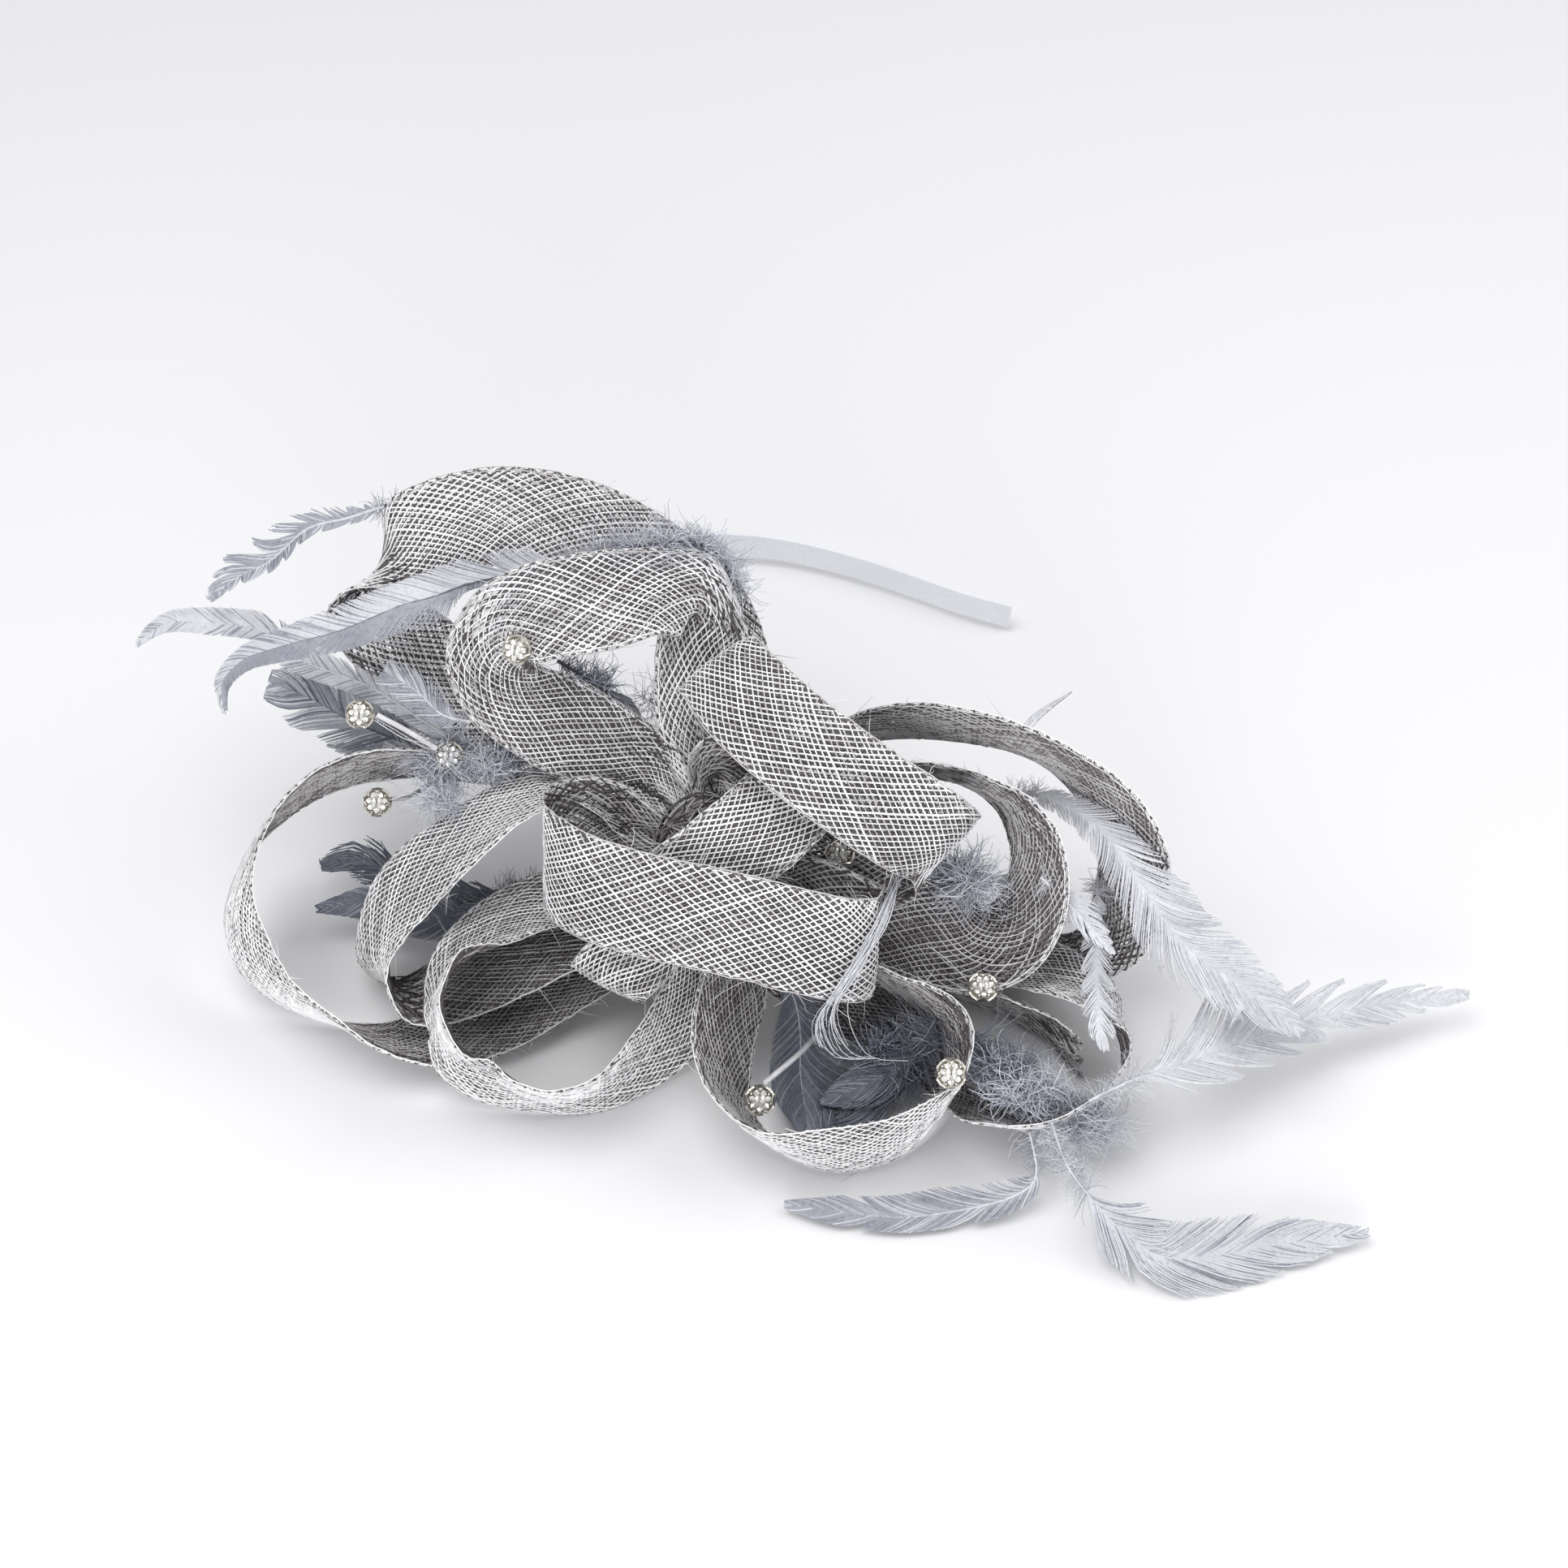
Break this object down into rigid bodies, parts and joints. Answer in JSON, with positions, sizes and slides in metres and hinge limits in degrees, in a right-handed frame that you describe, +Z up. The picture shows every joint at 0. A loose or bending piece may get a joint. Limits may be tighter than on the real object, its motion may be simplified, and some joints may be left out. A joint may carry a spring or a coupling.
{
  "type": "fascinator",
  "caption": "Fascinator of looped woven straw strips with long feathers and cup-set crystals on a narrow satin headband, lying on a surface.",
  "frame": {"origin": "centre of the footprint, on the surface it lies on", "axes": "+X to the right as seen from the front, +Y away from the front, +Z up"},
  "size_m": [0.3486, 0.2704, 0.1092],
  "materials": {
    "hub": "matt woven cover",
    "satin": "satin",
    "straw": "open diagonal weave of fine silvery strands",
    "feather": "soft barbs",
    "metal": "polished pale champagne silver",
    "crystal": "clear faceted",
    "thread": "twisted thread"
  },
  "bodies": {
    "root": {"hub": "hub", "headband": "satin", "crown_loop": "straw", "upper_loop": "straw", "shoulder_loop": "straw", "knot_loop": "straw", "front_loop": "straw", "tuck_loop": "straw", "left_outer_loop": "straw", "left_inner_loop": "straw", "front_left_loop": "straw", "front_right_loop": "straw", "right_low_loop": "straw", "right_tail": "straw", "right_inner_loop": "straw", "right_outer_loop": "straw", "plume_over_top": "feather", "plume_top_left": "feather", "plume_far_left": "feather", "plume_left_fan": "feather", "plume_left_brush": "feather", "plume_left_low": "feather", "plume_left_back": "feather", "plume_in_right_loop": "feather", "plume_over_right": "feather", "plume_hanging": "feather", "plume_right_upper": "feather", "plume_right_lower": "feather", "plume_along_floor": "feather", "plume_in_front_loop": "feather", "plume_in_low_loop": "feather", "crystal_1_cup": "metal", "crystal_2_cup": "metal", "crystal_3_cup": "metal", "crystal_4_cup": "metal", "crystal_5_cup": "metal", "crystal_6_cup": "metal", "crystal_7_cup": "metal", "crystal_8_cup": "metal", "crystal_1_stone": "crystal", "crystal_2_stone": "crystal", "crystal_3_stone": "crystal", "crystal_4_stone": "crystal", "crystal_5_stone": "crystal", "crystal_6_stone": "crystal", "crystal_7_stone": "crystal", "crystal_8_stone": "crystal", "crystal_2_stem": "thread", "crystal_4_stem": "thread", "crystal_8_stem": "thread"}
  },
  "joints": []
}
